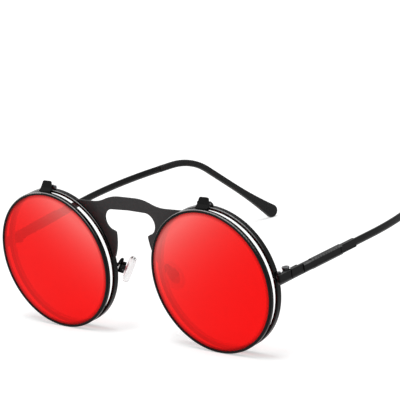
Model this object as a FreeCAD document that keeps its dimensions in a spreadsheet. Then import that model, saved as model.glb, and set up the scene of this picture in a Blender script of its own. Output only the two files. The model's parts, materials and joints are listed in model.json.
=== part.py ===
import FreeCAD, Part
import math
import os
import Sketcher

# Flip-up round sunglasses: a metal front with two clear lenses, two tinted lenses that
# hang in front of them on hinges at the top of each rim, folding temples and nose pads.
#
# Millimetres and degrees. The front is drawn in its own frame: X to the side, Y from the
# front face back towards the temples, Z up, with the origin midway between the lens
# centres on the front face of the tinted rims. The wearer's left is +X. The left half is
# drawn and the right half is its mirror image. At the end everything is leaned until the
# tinted rims and the temple tips stand on one table, with the origin under the middle.

SIZES = {
    # Lenses and rims
    "lens_spacing": 72.0,
    "lens_diameter": 50.0,
    "lens_thickness": 1.3,
    "lens_curve_radius": 260.0,
    "lens_bevel_width": 0.9,
    "lens_play": 0.03,
    "rim_lip": 0.45,
    "rim_wall": 0.5,
    "rim_depth": 1.6,
    "rim_edge_round": 0.4,
    "rim_reach": 0.7,
    "flip_gap": 2.6,
    # Bridge plate
    "plate_thickness": 0.8,
    "plate_setback": 0.1,
    "crown_drop": 0.32,
    "crown_flat": 3.5,
    "valley_drop": 2.65,
    "valley_outset": 7.4,
    "shoulder_rise": 0.12,
    "band_height": 4.65,
    "band_sag": 0.25,
    "neck_width": 5.0,
    "lobe_radius": 3.95,
    "lobe_end_angle": 75.0,
    "wing_width": 6.0,
    "wing_corner_drop": 0.5,
    "wing_height": 9.3,
    "wing_step": 0.8,
    "wing_curve_radius": 20.0,
    "plate_edge_round": 0.2,
    # End piece and the lock that closes the rim
    "end_height": 2.8,
    "end_plate_height": 3.3,
    "end_plate_front": 0.8,
    "end_plate_round": 0.3,
    "lock_gap": 0.2,
    "lock_play": 0.06,
    "lock_screw_radius": 0.35,
    "lock_head_radius": 0.65,
    "lock_head_height": 0.45,
    "lock_screw_outset": 0.5,
    # Temple hinge
    "hinge_outset": 0.1,
    "hinge_back": 3.4,
    "hinge_offset": 1.35,
    "barrel_radius": 1.15,
    "knuckle_gap": 0.06,
    "leaf_thickness": 0.6,
    "leaf_length": 2.9,
    "leaf_clearance": 0.2,
    "front_split": 0.36,
    "temple_split": 0.1,
    "temple_screw_radius": 0.5,
    "temple_head_radius": 1.3,
    "temple_head_height": 0.6,
    "running_clearance": 0.03,
    # Temple arm, ornament sleeve and tip
    "temple_splay_angle": 5.4,
    "temple_pitch_angle": 0.3,
    "strip_thickness": 1.2,
    "strip_height": 2.6,
    "strip_edge_round": 0.4,
    "front_flat_length": 5.8,
    "front_flat_height": 3.4,
    "flat_edge_round": 0.2,
    "arm_straight": 40.1,
    "bow_radius": 107.0,
    "bow_turn_angle": 22.7,
    "sleeve_wall": 0.3,
    "collar_length": 4.0,
    "collar_rise": 0.26,
    "railed_length": 15.2,
    "railed_rise": 0.38,
    "tail_length": 7.0,
    "tail_rise": 0.16,
    "sleeve_edge_round": 0.3,
    "sleeve_play": 0.02,
    "panel_margin": 0.55,
    "panel_end_margin": 0.6,
    "panel_depth": 0.16,
    "bead_pitch": 1.3,
    "bead_width": 0.45,
    "bead_depth": 0.16,
    "tip_straight": 5.7,
    "tip_bend_radius": 23.3,
    "tip_bend_angle": 43.2,
    "tip_neck": 14.3,
    "tip_length": 41.0,
    "tip_end_height": 5.5,
    "tip_thickness": 1.8,
    "tip_edge_round": 0.6,
    "core_radius": 0.55,
    "core_length": 26.0,
    "core_play": 0.02,
    # Flip hinge
    "flip_axis_rise": 0.92,
    "flip_barrel_radius": 0.8,
    "lug_half_width": 2.05,
    "knuckle_half_width": 1.42,
    "knuckle_side_gap": 0.06,
    "bracket_back": 1.45,
    "bracket_bar": 0.5,
    "bracket_bar_drop": 0.55,
    "tab_clearance": 0.15,
    "tab_thickness": 0.6,
    "tab_lean_angle": 26.6,
    "tab_half_width": 2.65,
    "tab_top_half_width": 1.75,
    "tab_rise": 1.9,
    "tab_shoulder": 0.65,
    "tab_corner_round": 0.75,
    "tab_foot_height": 0.85,
    "tab_foot_depth": 0.6,
    "flip_screw_radius": 0.4,
    "flip_head_radius": 0.62,
    "flip_head_height": 1.2,
    # Nose pads
    "wire_radius": 0.45,
    "pad_foot_drop": 1.0,
    "pad_foot_radius": 0.68,
    "pad_foot_thickness": 0.4,
    "wire_run": 0.6,
    "pad_pivot_side": 11.6,
    "pad_pivot_back": 3.7,
    "pad_pivot_drop": 3.5,
    "pad_turn_angle": 35.0,
    "pad_lean_angle": 34.0,
    "box_half_width": 1.4,
    "box_half_length": 1.5,
    "box_front": 0.5,
    "box_floor": 0.88,
    "box_floor_thickness": 0.9,
    "lug_thickness": 0.9,
    "lug_side_gap": 0.05,
    "lug_radius": 0.8,
    "pad_standoff": 0.9,
    "pad_half_width": 3.4,
    "pad_end_radius": 2.6,
    "pad_end_offset": 2.8,
    "pad_thickness": 2.4,
    "pad_edge_round": 0.95,
    "insert_half_width": 1.8,
    "insert_end_radius": 1.3,
    "insert_end_offset": 2.1,
    "insert_thickness": 0.5,
    "insert_play": 0.02,
    "pad_screw_radius": 0.3,
    "pad_head_radius": 0.55,
    "pad_head_height": 0.35,
    # Shared
    "slot_width": 0.22,
    "slot_depth": 0.18,
    "cut_overrun": 1.0,
}

# How close two places are when they count as one
NEAR = 1e-5

# How finely the resting lean is searched for, in degrees
LEAN_STEP = 1e-9

# Shares of the sizes that they follow
CROWN_SHARE = 0.54
WIRE_RISE_SHARE = 0.35

doc = FreeCAD.newDocument("flip_up_sunglasses")
sheet = doc.addObject("Spreadsheet::Sheet", "sizes")
for row, (alias, number) in enumerate(SIZES.items(), start=1):
    sheet.set(f"A{row}", alias)
    sheet.set(f"B{row}", str(number))
    sheet.setAlias(f"B{row}", alias)
doc.recompute()


class Size:
    """A size worked out from the sheet: its value, and the expression that binds it."""

    def __init__(self, text, value):
        self.text = text
        self.value = value

    def __add__(self, other):
        return Size(f"({self.text} + {other.text})", self.value + other.value)

    def __sub__(self, other):
        return Size(f"({self.text} - {other.text})", self.value - other.value)

    def __mul__(self, other):
        other = other if isinstance(other, Size) else Size(str(other), other)
        return Size(f"({self.text} * {other.text})", self.value * other.value)

    def __truediv__(self, other):
        other = other if isinstance(other, Size) else Size(str(other), other)
        return Size(f"({self.text} / {other.text})", self.value / other.value)

    def __neg__(self):
        return Size(f"(-1 * {self.text})", -self.value)


ZERO = Size("0", 0.0)


def size(alias):
    """A length straight from the sheet."""
    return Size(f"sizes.{alias}", getattr(sheet, alias))


def angle(alias):
    """An angle straight from the sheet, in degrees."""
    return Size(f"(sizes.{alias} * 1 deg)", getattr(sheet, alias))


def root(square):
    return Size(f"sqrt({square.text})", math.sqrt(square.value))


def sine(turn):
    return Size(f"sin({turn.text})", math.sin(math.radians(turn.value)))


def cosine(turn):
    return Size(f"cos({turn.text})", math.cos(math.radians(turn.value)))


def vector(across, back, up):
    return FreeCAD.Vector(across.value, back.value, up.value)


def new_body(name):
    return doc.addObject("PartDesign::Body", name)


def bind(sketch, kind, places, amount):
    """Add one dimension to a sketch and tie it to the sheet."""
    number = sketch.addConstraint(Sketcher.Constraint(kind, *places, amount.value))
    sketch.setExpression(f"Constraints[{number}]", amount.text)


def pin_point(sketch, side, end, point):
    """Fix one end of a side at its place, measured from the sketch's origin."""
    for kind, axis, amount in (("DistanceX", -2, point[0]), ("DistanceY", -1, point[1])):
        if amount is ZERO:
            sketch.addConstraint(Sketcher.Constraint("PointOnObject", side, end, axis))
        else:
            bind(sketch, kind, (-1, 1, side, end), amount)


def new_sketch(body, plane):
    sketch = body.newObject("Sketcher::SketchObject", f"{body.Name}_outline")
    support = next(item for item in body.Origin.OriginFeatures if item.Role == plane)
    sketch.AttachmentSupport = [(support, "")]
    sketch.MapMode = "FlatFace"
    return sketch


def arc_between(start, end, radius, turn):
    """Arc of less than half a circle that turns left (turn 1) or right (turn -1)."""
    chord = end - start
    left = FreeCAD.Vector(-chord.y, chord.x, 0).normalize()
    reach = math.sqrt(max(radius ** 2 - chord.Length ** 2 / 4, 0))
    centre = (start + end) / 2 + left * (turn * reach)
    first, last = (start, end) if turn > 0 else (end, start)
    bearing = [math.atan2(place.y - centre.y, place.x - centre.x) for place in (first, last)]
    if bearing[1] < bearing[0]:
        bearing[1] += 2 * math.pi
    return Part.ArcOfCircle(Part.Circle(centre, FreeCAD.Vector(0, 0, 1), radius), *bearing)


def draw(body, plane, points, arcs=None, closed=True):
    """Sketch with sides from point to point.

    arcs gives the sides that are arcs: side number to (radius, turn), where turn is 1 for
    an arc that turns left along the outline and -1 for one that turns right.
    """
    arcs = arcs or {}
    sketch = new_sketch(body, plane)
    places = [FreeCAD.Vector(across.value, up.value, 0) for across, up in points]
    count = len(points) if closed else len(points) - 1
    ends = []
    for side in range(count):
        start, end = places[side], places[(side + 1) % len(points)]
        if side in arcs:
            radius, turn = arcs[side]
            sketch.addGeometry(arc_between(start, end, radius.value, turn), False)
            ends.append((1, 2) if turn > 0 else (2, 1))
        else:
            sketch.addGeometry(Part.LineSegment(start, end), False)
            ends.append((1, 2))
    for side in range(count if closed else count - 1):
        after = (side + 1) % count
        sketch.addConstraint(Sketcher.Constraint("Coincident", side, ends[side][1], after, ends[after][0]))
    for side in range(count):
        pin_point(sketch, side, ends[side][0], points[side])
    if not closed:
        pin_point(sketch, count - 1, ends[count - 1][1], points[-1])
    for side, (radius, turn) in arcs.items():
        bind(sketch, "Radius", (side,), radius)
    return sketch


def draw_circle(body, plane, centre, radius):
    sketch = new_sketch(body, plane)
    place = FreeCAD.Vector(centre[0].value, centre[1].value, 0)
    sketch.addGeometry(Part.Circle(place, FreeCAD.Vector(0, 0, 1), radius.value), False)
    pin_point(sketch, 0, 3, centre)
    bind(sketch, "Radius", (0,), radius)
    return sketch


def box_points(left, right, low, high):
    return [(left, low), (right, low), (right, high), (left, high)]


def pad(body, sketch, length, both=False, backward=False):
    """Add material: length along the sketch's normal, against it, or split over both sides."""
    feature = body.newObject("PartDesign::Pad", f"{body.Name}_pad")
    feature.Profile = sketch
    feature.setExpression("Length", length.text)
    feature.SideType = "Symmetric" if both else "One side"
    feature.Reversed = backward
    doc.recompute()


def cut(body, sketch, length=None, both=True, backward=False):
    """Take material away: through everything, or to a length, and make sure that some went."""
    before = body.Shape.Volume
    feature = body.newObject("PartDesign::Pocket", f"{body.Name}_cut")
    feature.Profile = sketch
    if length is None:
        feature.Type = "ThroughAll"
    else:
        feature.setExpression("Length", length.text)
    feature.SideType = "Symmetric" if both else "One side"
    feature.Reversed = backward
    doc.recompute()
    if not body.Shape.Volume < before:
        raise RuntimeError(f"{body.Name}: a cut takes nothing away")
    return feature


def revolve(body, sketch, axis):
    feature = body.newObject("PartDesign::Revolution", f"{body.Name}_turned")
    feature.Profile = sketch
    feature.ReferenceAxis = (sketch, [axis])
    feature.Angle = 360
    doc.recompute()


def round_edges(body, radius, wanted):
    """Fillet the edges of the body that the test wanted picks."""
    names = [f"Edge{number}" for number, edge in enumerate(body.Tip.Shape.Edges, start=1) if wanted(edge)]
    base = body.Tip
    feature = body.newObject("PartDesign::Fillet", f"{body.Name}_round")
    feature.Base = (base, names)
    feature.setExpression("Radius", radius.text)
    doc.recompute()


def lies_at(edge, axis, amount):
    """True where the whole edge lies at that distance along axis 0, 1 or 2."""
    spots = [edge.valueAt(edge.FirstParameter + (edge.LastParameter - edge.FirstParameter) * part)
             for part in (0.0, 0.5, 1.0)]
    return all(abs(spot[axis] - amount) < NEAR for spot in spots)


# Places that several pieces share
lens_radius = size("lens_diameter") / 2
rim_inner = lens_radius - size("rim_lip")
rim_outer = lens_radius + size("lens_play") + size("rim_wall")
half_spacing = size("lens_spacing") / 2
rear_front = size("rim_depth") + size("flip_gap")
rear_back = rear_front + size("rim_depth")
overrun = size("cut_overrun")
hinge_across = half_spacing + rim_outer + size("hinge_outset")
hinge_depth = rear_back + size("hinge_back")
plate_out = size("hinge_offset") + size("strip_thickness")
half_end = size("end_plate_height") / 2
strip_mid = size("hinge_offset") + size("strip_thickness") / 2
flip_axis_up = rim_outer + size("flip_axis_rise")
lock_side = size("lock_screw_outset") - size("hinge_outset")
lock_depth = -(size("hinge_back") + size("rim_depth") / 2)
middle_knuckle = (size("end_plate_height") - size("knuckle_gap") * 2) / 3

# The frames that pieces are drawn in, as places in the front's frame
at_flip_lens = FreeCAD.Placement(vector(half_spacing, ZERO, ZERO), FreeCAD.Rotation())
at_clear_lens = FreeCAD.Placement(vector(half_spacing, rear_front, ZERO), FreeCAD.Rotation())
at_bridge = FreeCAD.Placement(vector(ZERO, rear_front + size("plate_setback"), ZERO), FreeCAD.Rotation())
at_hinge = FreeCAD.Placement(vector(hinge_across, hinge_depth, size("end_height")), FreeCAD.Rotation())
at_flip_axis = FreeCAD.Placement(vector(half_spacing, rear_front, flip_axis_up), FreeCAD.Rotation())
X_AXIS = FreeCAD.Vector(1, 0, 0)
Y_AXIS = FreeCAD.Vector(0, 1, 0)
Z_AXIS = FreeCAD.Vector(0, 0, 1)


def turned(axis, degrees):
    return FreeCAD.Placement(FreeCAD.Vector(), FreeCAD.Rotation(axis, degrees))


def shifted(place):
    return FreeCAD.Placement(place, FreeCAD.Rotation())


splay = turned(Z_AXIS, -size("temple_splay_angle").value)
at_temple_leaf = at_hinge.multiply(splay)
at_temple = at_temple_leaf.multiply(turned(X_AXIS, -size("temple_pitch_angle").value))
bow_centre_across = strip_mid - size("bow_radius")
bow_end = (bow_centre_across + size("bow_radius") * cosine(angle("bow_turn_angle")),
           size("arm_straight") + size("bow_radius") * sine(angle("bow_turn_angle")))
bow_turned = turned(Z_AXIS, size("bow_turn_angle").value)
at_tip = at_temple.multiply(shifted(vector(*bow_end, ZERO))).multiply(bow_turned)


def splayed(across, along):
    """A place beside the temple's hinge, turned out with the temple's splay."""
    turn = angle("temple_splay_angle")
    return (across * cosine(turn) + along * sine(turn), along * cosine(turn) - across * sine(turn))


def plate_inside(forward):
    """How far out the end plate's inner face is, that far in front of the hinge."""
    turn = angle("temple_splay_angle")
    return (size("hinge_offset") - forward * sine(turn)) / cosine(turn)


pieces = {}


def keep(body, place):
    """Note a finished left or middle piece under its label, with its place in the front."""
    body.Label = body.Name
    pieces[body.Name] = (body, place)


def make_rim(name, place, split):
    """Ring with a groove for the lens's bevel. A split one is cut through beside the end piece,
    and its front reaches out past the bridge, towards the tinted rim."""
    body = new_body(name)
    front = -size("rim_reach") if split else ZERO
    middle = size("rim_depth") / 2
    half_groove = size("lens_bevel_width") / 2 + size("lens_play")
    section = [
        (rim_inner, front),
        (rim_outer, front),
        (rim_outer, size("rim_depth")),
        (rim_inner, size("rim_depth")),
        (rim_inner, middle + half_groove),
        (lens_radius + size("lens_play"), middle),
        (rim_inner, middle - half_groove),
    ]
    revolve(body, draw(body, "XY_Plane", section), "V_Axis")

    def outer(edge):
        return isinstance(edge.Curve, Part.Circle) and abs(edge.Curve.Radius - rim_outer.value) < NEAR

    round_edges(body, size("rim_edge_round"), outer)
    if split:
        half_gap = size("lock_gap") / 2
        slot = box_points(rim_inner - overrun, rim_outer + overrun,
                          size("end_height") - half_gap, size("end_height") + half_gap)
        cut(body, draw(body, "XZ_Plane", slot))
    keep(body, place)


def make_lens(name, place):
    """Round meniscus with a bevel around its edge that sits in the rim's groove."""
    body = new_body(name)
    edge = rim_inner - size("lens_play")
    middle = size("rim_depth") / 2
    half_bevel = size("lens_bevel_width") / 2
    front = middle - size("lens_thickness") / 2
    back = middle + size("lens_thickness") / 2
    curve = size("lens_curve_radius")
    sag = curve - root(curve * curve - edge * edge)
    section = [
        (ZERO, front - sag),
        (edge, front),
        (edge, middle - half_bevel),
        (lens_radius, middle),
        (edge, middle + half_bevel),
        (edge, back),
        (ZERO, back - sag),
    ]
    revolve(body, draw(body, "XY_Plane", section, {0: (curve, 1), 5: (curve, -1)}), "V_Axis")
    keep(body, place)


def rim_side(height):
    """How far from the middle the nose side of the rim is at a height."""
    return half_spacing - root(rim_outer * rim_outer - height * height)


def make_bridge():
    """Flat plate: a crowned band between the rims, with a wing down the nose side of each."""
    body = new_body("bridge_plate")
    crown = rim_outer - size("crown_drop")
    valley = crown - size("valley_drop")
    shoulder = valley + size("shoulder_rise")
    band_low = crown - size("band_height")
    lobe_up = band_low - size("band_sag") - size("lobe_radius")
    lobe_side = rim_side(lobe_up) - size("neck_width") - size("lobe_radius")
    lobe_turn = angle("lobe_end_angle")
    corner_up = lobe_up - size("lobe_radius") - size("wing_corner_drop")
    wing_low = corner_up - size("wing_height")
    valley_side = rim_side(valley) - size("valley_outset")
    # The crown's arc and the valley's arc meet where the line of their centres crosses them.
    run = valley_side - size("crown_flat")
    radii = (run * run + size("valley_drop") * size("valley_drop")) / (size("valley_drop") * 2)
    crown_radius = radii * CROWN_SHARE
    valley_radius = radii - crown_radius
    meet = (size("crown_flat") + run * CROWN_SHARE, crown - size("valley_drop") * CROWN_SHARE)
    lobe_end = lobe_side + size("lobe_radius") * cosine(lobe_turn)
    outline = [
        (ZERO, band_low),
        (lobe_side, band_low - size("band_sag")),
        (lobe_end, lobe_up - size("lobe_radius") * sine(lobe_turn)),
        (rim_side(corner_up) - size("wing_width"), corner_up),
        (rim_side(wing_low) - size("wing_step"), wing_low),
        (rim_side(wing_low), wing_low),
        (rim_side(shoulder), shoulder),
        (valley_side, valley),
        meet,
        (size("crown_flat"), crown),
        (ZERO, crown),
    ]
    arcs = {
        1: (size("lobe_radius"), -1),
        3: (size("wing_curve_radius"), 1),
        5: (rim_outer, -1),
        7: (valley_radius, -1),
        8: (crown_radius, 1),
    }
    pad(body, draw(body, "XZ_Plane", outline, arcs), size("plate_thickness"), backward=True)
    mirror = body.newObject("PartDesign::Mirrored", "bridge_halves")
    mirror.Originals = [item for item in body.Group if item.isDerivedFrom("PartDesign::Pad")]
    mirror.MirrorPlane = (next(item for item in body.Origin.OriginFeatures if item.Role == "YZ_Plane"), [""])
    body.Tip = mirror
    doc.recompute()

    def free_edge(edge):
        """An edge of the front or back face that is away from the rims."""
        on_face = lies_at(edge, 1, 0) or lies_at(edge, 1, size("plate_thickness").value)
        low = min(vertex.Point.z for vertex in edge.Vertexes)
        beside_rim = isinstance(edge.Curve, Part.Circle) and abs(edge.Curve.Radius - rim_outer.value) < NEAR
        return on_face and low > corner_up.value + NEAR and not beside_rim

    round_edges(body, size("plate_edge_round"), free_edge)
    keep(body, at_bridge)


def cut_rim_bed(body, centre):
    """Shape a piece to sit on the outside of the rim."""
    cut(body, draw_circle(body, "XZ_Plane", centre, rim_outer))


def make_end_piece():
    """Upper half of the rim's lock, with the side plate that runs on into the temple."""
    body = new_body("left_end_piece")
    front = -(size("hinge_back") + size("rim_depth") + size("end_plate_front"))
    half_gap = size("lock_gap") / 2
    inner = -(rim_outer + size("hinge_outset") - rim_inner)
    plate = box_points(size("hinge_offset"), plate_out, front, -size("front_split"))
    plate = [splayed(across, along) for across, along in plate]
    pad(body, draw(body, "XY_Plane", plate), size("end_plate_height"), both=True)

    def outer_corner(edge):
        across, along = splayed(plate_out, front)
        return lies_at(edge, 0, across.value) and lies_at(edge, 1, along.value)

    round_edges(body, size("end_plate_round"), outer_corner)
    block = box_points(inner, plate_inside(size("hinge_back")), half_gap, half_end)
    sketch = draw(body, "XZ_Plane", block)
    sketch.setExpression("AttachmentOffset.Base.z", size("hinge_back").text)
    pad(body, sketch, size("rim_depth"))
    cut_rim_bed(body, (half_spacing - hinge_across, -size("end_height")))
    hole = draw_circle(body, "XY_Plane", (lock_side, lock_depth), size("lock_screw_radius"))
    cut(body, hole)
    keep(body, at_hinge)


def make_rim_lock():
    """Lower half of the rim's lock, which the lock screw draws up to close the rim."""
    body = new_body("left_rim_lock")
    half_gap = size("lock_gap") / 2
    inner = -(rim_outer + size("hinge_outset") - rim_inner)
    outer = plate_inside(size("hinge_back") + size("rim_depth")) - size("lock_play")
    block = box_points(inner, outer, -half_end, -half_gap)
    sketch = draw(body, "XZ_Plane", block)
    sketch.setExpression("AttachmentOffset.Base.z", size("hinge_back").text)
    pad(body, sketch, size("rim_depth"))
    cut_rim_bed(body, (half_spacing - hinge_across, -size("end_height")))
    cut(body, draw_circle(body, "XY_Plane", (lock_side, lock_depth), size("lock_screw_radius")))
    keep(body, at_hinge)


def make_screw(name, place, radius, length, head_radius, head_height):
    """Slotted screw along Z with its head above the origin and its shank below."""
    body = new_body(name)
    section = [
        (ZERO, -length),
        (radius, -length),
        (radius, ZERO),
        (head_radius, ZERO),
        (head_radius, head_height),
        (ZERO, head_height),
    ]
    revolve(body, draw(body, "XZ_Plane", section), "V_Axis")
    half_slot = size("slot_width") / 2
    slot = box_points(-half_slot, half_slot, head_height - size("slot_depth"), head_height + overrun)
    cut(body, draw(body, "XZ_Plane", slot))
    keep(body, place)


def make_front_leaf():
    """Hinge leaf on the end piece: a foot and the upper and lower knuckles."""
    body = new_body("left_front_leaf")
    reach = size("barrel_radius") + size("leaf_clearance")
    inner = size("hinge_offset") - size("leaf_thickness")
    foot = box_points(inner, size("hinge_offset"), -size("leaf_length"), -size("front_split"))
    pad(body, draw(body, "XY_Plane", foot), size("end_plate_height"), both=True)
    barrel = draw_circle(body, "XY_Plane", (ZERO, ZERO), size("barrel_radius"))
    pad(body, barrel, size("end_plate_height"), both=True)
    middle = box_points(-reach, size("hinge_offset") + overrun, -reach, reach)
    cut(body, draw(body, "XY_Plane", middle), middle_knuckle + size("knuckle_gap") * 2)
    cut(body, draw_circle(body, "XY_Plane", (ZERO, ZERO), size("temple_screw_radius")))
    keep(body, at_temple_leaf)


def make_temple_leaf():
    """Hinge leaf on the temple: a foot and the middle knuckle."""
    body = new_body("left_temple_leaf")
    reach = size("barrel_radius") + size("leaf_clearance")
    inner = size("hinge_offset") - size("leaf_thickness")
    foot = box_points(inner, size("hinge_offset"), reach, reach + size("leaf_length"))
    neck = box_points(inner, size("hinge_offset"), size("temple_split"), reach)
    pad(body, draw(body, "XY_Plane", foot), size("end_plate_height"), both=True)
    pad(body, draw(body, "XY_Plane", neck), middle_knuckle, both=True)
    pad(body, draw_circle(body, "XY_Plane", (ZERO, ZERO), size("barrel_radius")), middle_knuckle, both=True)
    bore = size("temple_screw_radius") + size("running_clearance")
    cut(body, draw_circle(body, "XY_Plane", (ZERO, ZERO), bore))
    keep(body, at_temple_leaf)


def make_temple_arm():
    """Metal strip: a taller flat at the hinge, a straight run, and a bow in towards the head."""
    body = new_body("left_temple_arm")
    half = size("strip_thickness") / 2
    turn = angle("bow_turn_angle")
    outside = size("bow_radius") + half
    inside = size("bow_radius") - half
    strip = [
        (size("hinge_offset"), size("temple_split")),
        (plate_out, size("temple_split")),
        (plate_out, size("arm_straight")),
        (bow_centre_across + outside * cosine(turn), size("arm_straight") + outside * sine(turn)),
        (bow_centre_across + inside * cosine(turn), size("arm_straight") + inside * sine(turn)),
        (size("hinge_offset"), size("arm_straight")),
    ]
    arcs = {2: (outside, 1), 4: (inside, -1)}
    pad(body, draw(body, "XY_Plane", strip, arcs), size("strip_height"), both=True)

    def long_edge(edge):
        spots = (edge.Vertexes[0].Point, edge.Vertexes[-1].Point)
        return abs(spots[0].y - spots[1].y) > size("strip_height").value

    round_edges(body, size("strip_edge_round"), long_edge)
    flat = box_points(size("hinge_offset"), plate_out, size("temple_split"), size("front_flat_length"))
    pad(body, draw(body, "XY_Plane", flat), size("front_flat_height"), both=True)
    half_flat = size("front_flat_height").value / 2

    def flat_edge(edge):
        return long_edge(edge) and (lies_at(edge, 2, half_flat) or lies_at(edge, 2, -half_flat))

    round_edges(body, size("flat_edge_round"), flat_edge)
    keep(body, at_temple)


def make_temple_sleeve():
    """Ornament around the arm: collar, railed panel with a beaded upper rail, and a plain tail."""
    body = new_body("left_temple_sleeve")
    play = size("sleeve_play")
    half_strip = size("strip_height") / 2 + play
    thickness = size("strip_thickness") + (size("sleeve_wall") + play) * 2
    face = strip_mid + thickness / 2
    start = size("front_flat_length")
    step = start + size("collar_length")
    tail = step + size("railed_length")
    # The lowest stretch runs the whole length, and each higher one is laid over it.
    for first, last, rise in ((start, tail + size("tail_length"), size("tail_rise")),
                              (start, step, size("collar_rise")),
                              (step, tail, size("railed_rise"))):
        half = half_strip + rise
        block = draw(body, "YZ_Plane", box_points(first, last, -half, half))
        block.setExpression("AttachmentOffset.Base.z", strip_mid.text)
        pad(body, block, thickness, both=True)

        def long_edge(edge):
            flat = lies_at(edge, 2, half.value) or lies_at(edge, 2, -half.value)
            return flat and abs(edge.Length - (last - first).value) < NEAR

        round_edges(body, size("sleeve_edge_round"), long_edge)
    bore = box_points(size("hinge_offset") - play, plate_out + play, -half_strip, half_strip)
    cut(body, draw(body, "XZ_Plane", bore))
    half_railed = half_strip + size("railed_rise")
    half_panel = half_railed - size("panel_margin")
    first = step + size("panel_end_margin")
    last = tail - size("panel_end_margin")
    panel = draw(body, "YZ_Plane", box_points(first, last, -half_panel, half_panel))
    panel.setExpression("AttachmentOffset.Base.z", face.text)
    cut(body, panel, size("panel_depth"), both=False)
    # Notches break the upper rail into beads.
    notch_start = first + (size("bead_pitch") - size("bead_width")) / 2
    notch = box_points(notch_start, notch_start + size("bead_width"), half_panel - size("panel_depth"),
                       half_railed + overrun)
    notch = draw(body, "YZ_Plane", notch)
    notch.setExpression("AttachmentOffset.Base.z", face.text)
    pocket = cut(body, notch, size("bead_depth"), both=False)
    row = body.newObject("PartDesign::LinearPattern", "bead_row")
    row.Originals = [pocket]
    row.Direction = (next(item for item in body.Origin.OriginFeatures if item.Role == "Y_Axis"), [""])
    row.Mode = "Spacing"
    row.setExpression("Offset", size("bead_pitch").text)
    row.Occurrences = int((last - first).value / size("bead_pitch").value)
    body.Tip = row
    doc.recompute()
    keep(body, at_temple)


def tip_path():
    """The tip's middle line in its own plane: straight, bent down, straight again."""
    bend = angle("tip_bend_angle")
    bend_end = (size("tip_straight") + size("tip_bend_radius") * sine(bend),
                size("tip_bend_radius") * cosine(bend) - size("tip_bend_radius"))
    return [(ZERO, ZERO), (size("tip_straight"), ZERO), bend_end]


def along_tip(distance):
    """The place on the middle line that far beyond the end of the bend."""
    bend = angle("tip_bend_angle")
    across, up = tip_path()[-1]
    return (across + distance * cosine(bend), up - distance * sine(bend))


def make_core():
    """Wire on the end of the arm that stiffens the tip and lets it be bent to fit."""
    body = new_body("left_tip_core")
    path = tip_path() + [along_tip(size("core_length"))]
    spine = draw(body, "YZ_Plane", path, {1: (size("tip_bend_radius"), -1)}, closed=False)
    section = draw_circle(body, "XZ_Plane", (ZERO, ZERO), size("core_radius"))
    pipe = body.newObject("PartDesign::AdditivePipe", "core_wire")
    pipe.Profile = section
    pipe.Spine = (spine, ["Edge1", "Edge2", "Edge3"])
    doc.recompute()
    keep(body, at_tip)


def make_tip():
    """Plastic tip: bent down behind the ear and flaring to a round paddle, bored for its core."""
    body = new_body("left_temple_tip")
    bend = angle("tip_bend_angle")
    radius = size("tip_bend_radius")
    half = size("strip_height") / 2
    end_half = size("tip_end_height") / 2
    start = size("tip_straight")
    # Each edge runs along the neck, then on an arc that touches both the neck and the end's circle.
    run = size("tip_length") - end_half - size("tip_neck")
    flare = (run * run + half * half - end_half * end_half) / ((end_half - half) * 2)
    share = end_half / (flare + end_half)
    touch = (size("tip_neck") + run - run * share, (flare + half) * share)

    def beside(distance, side):
        """The place that far beyond the end of the bend and that far above the middle line."""
        across, up = along_tip(distance)
        return (across + side * sine(bend), up + side * cosine(bend))

    outline = [
        (ZERO, half),
        (ZERO, -half),
        (start, -half),
        beside(ZERO, -half),
        beside(size("tip_neck"), -half),
        beside(touch[0], -touch[1]),
        along_tip(size("tip_length")),
        beside(*touch),
        beside(size("tip_neck"), half),
        beside(ZERO, half),
        (start, half),
    ]
    arcs = {
        2: (radius - half, -1),
        4: (flare, -1),
        5: (end_half, 1),
        6: (end_half, 1),
        7: (flare, -1),
        9: (radius + half, 1),
    }
    pad(body, draw(body, "YZ_Plane", outline, arcs), size("tip_thickness"), both=True)
    half_thick = size("tip_thickness").value / 2

    def side_edge(edge):
        on_side = lies_at(edge, 0, half_thick) or lies_at(edge, 0, -half_thick)
        return on_side and not lies_at(edge, 1, 0)

    round_edges(body, size("tip_edge_round"), side_edge)
    path = tip_path() + [along_tip(size("core_length") + size("core_play"))]
    spine = draw(body, "YZ_Plane", path, {1: (radius, -1)}, closed=False)
    section = draw_circle(body, "XZ_Plane", (ZERO, ZERO), size("core_radius") + size("core_play"))
    before = body.Shape.Volume
    bore = body.newObject("PartDesign::SubtractivePipe", "core_bore")
    bore.Profile = section
    bore.Spine = (spine, ["Edge1", "Edge2", "Edge3"])
    doc.recompute()
    if not body.Shape.Volume < before:
        raise RuntimeError("the tip has no bore")
    keep(body, at_tip)


def make_flip_bracket():
    """Two lugs on top of the clear lens's rim, joined by a bar behind the knuckle."""
    body = new_body("left_flip_bracket")
    barrel = size("flip_barrel_radius")
    width = size("lug_half_width") * 2
    low = -(size("flip_axis_rise") + size("rim_wall"))
    back = size("bracket_back")
    web = [
        (size("rim_edge_round"), low),
        (back, low),
        (back, -size("bracket_bar_drop")),
        (barrel * cosine(angle("tab_lean_angle")), barrel * sine(angle("tab_lean_angle"))),
        (size("rim_edge_round"), ZERO),
    ]
    pad(body, draw(body, "YZ_Plane", web), width, both=True)
    pad(body, draw_circle(body, "YZ_Plane", (ZERO, ZERO), barrel), width, both=True)
    gap = size("knuckle_half_width") + size("knuckle_side_gap")
    high = barrel + overrun
    bar_front = back - size("bracket_bar")
    room = [(-high, low - overrun), (bar_front, low - overrun), (bar_front, -size("bracket_bar_drop")),
            (high, -size("bracket_bar_drop")), (high, high), (-high, high)]
    cut(body, draw(body, "YZ_Plane", room), gap * 2)
    cut_rim_bed(body, (ZERO, -flip_axis_up))
    cut(body, draw_circle(body, "YZ_Plane", (ZERO, ZERO), size("flip_screw_radius")))
    keep(body, at_flip_axis)


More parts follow.
